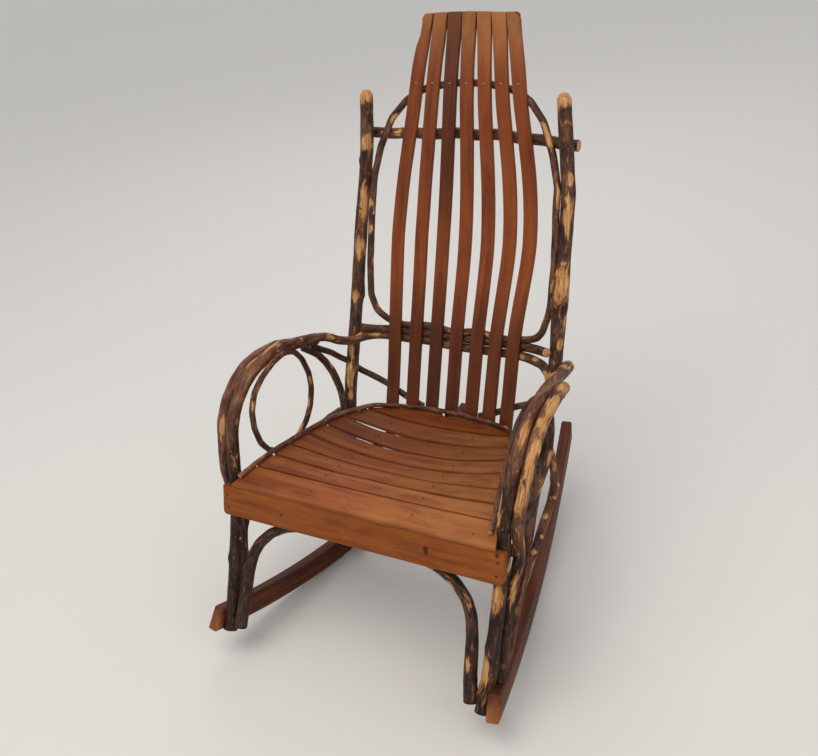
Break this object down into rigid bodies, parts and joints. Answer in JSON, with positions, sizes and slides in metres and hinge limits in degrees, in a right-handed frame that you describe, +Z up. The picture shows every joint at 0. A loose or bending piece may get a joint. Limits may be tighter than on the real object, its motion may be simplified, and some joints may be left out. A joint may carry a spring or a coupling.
{
  "type": "rocking chair",
  "caption": "Bentwood rocking chair of bark-on hickory saplings with a tall fanned slat back, a dished slat seat, double bent arms and sawn rockers.",
  "frame": {"origin": "under the middle of the chair's bounding box, on the floor", "axes": "+Z up; -Y is the way the sitter faces; +X is to the right of someone who looks at the front"},
  "size_m": [0.6742, 0.858, 1.0935],
  "materials": {
    "hickory_bark": "bark-on sapling, rubbed and varnished, satin",
    "stained_oak_slat": "planed oak, brown stain, satin varnish",
    "stained_oak_seat": "planed oak, brown stain, worn satin varnish",
    "sawn_oak_rocker": "sawn oak, dark red-brown stain, satin",
    "nail_steel": "dulled wire nail heads"
  },
  "bodies": {
    "root": {"arm_brace_left": "hickory_bark", "arm_brace_right": "hickory_bark", "arm_hoop_left": "hickory_bark", "arm_hoop_right": "hickory_bark", "back_bow_arm_to_arm": "hickory_bark", "back_bow_upper": "hickory_bark", "back_cross_rail": "hickory_bark", "back_hoop": "hickory_bark", "back_post_left": "hickory_bark", "back_post_right": "hickory_bark", "back_slat_1": "stained_oak_slat", "back_slat_2": "stained_oak_slat", "back_slat_3": "stained_oak_slat", "back_slat_4": "stained_oak_slat", "back_slat_5": "stained_oak_slat", "back_slat_6": "stained_oak_slat", "back_slat_7": "stained_oak_slat", "back_slat_nails": "nail_steel", "back_top_cleat": "stained_oak_slat", "diagonal_brace_left": "hickory_bark", "diagonal_brace_right": "hickory_bark", "front_arch": "hickory_bark", "front_board_nails": "nail_steel", "front_leg_arm_bow_left": "hickory_bark", "front_leg_arm_bow_right": "hickory_bark", "outer_arm_bow_left": "hickory_bark", "outer_arm_bow_right": "hickory_bark", "rear_rung": "hickory_bark", "rocker_left": "sawn_oak_rocker", "rocker_right": "sawn_oak_rocker", "seat_batten_left": "hickory_bark", "seat_batten_right": "hickory_bark", "seat_front_board": "stained_oak_seat", "seat_front_stretcher": "hickory_bark", "seat_rear_stretcher": "hickory_bark", "seat_slat_1": "stained_oak_seat", "seat_slat_2": "stained_oak_seat", "seat_slat_3": "stained_oak_seat", "seat_slat_4": "stained_oak_seat", "seat_slat_5": "stained_oak_seat", "seat_slat_6": "stained_oak_seat", "seat_slat_7": "stained_oak_seat", "seat_slat_8": "stained_oak_seat", "seat_slat_nails": "nail_steel", "seat_trim_bow": "hickory_bark", "side_brace_left": "hickory_bark", "side_brace_right": "hickory_bark", "side_rail_left": "hickory_bark", "side_rail_right": "hickory_bark"}
  },
  "joints": []
}
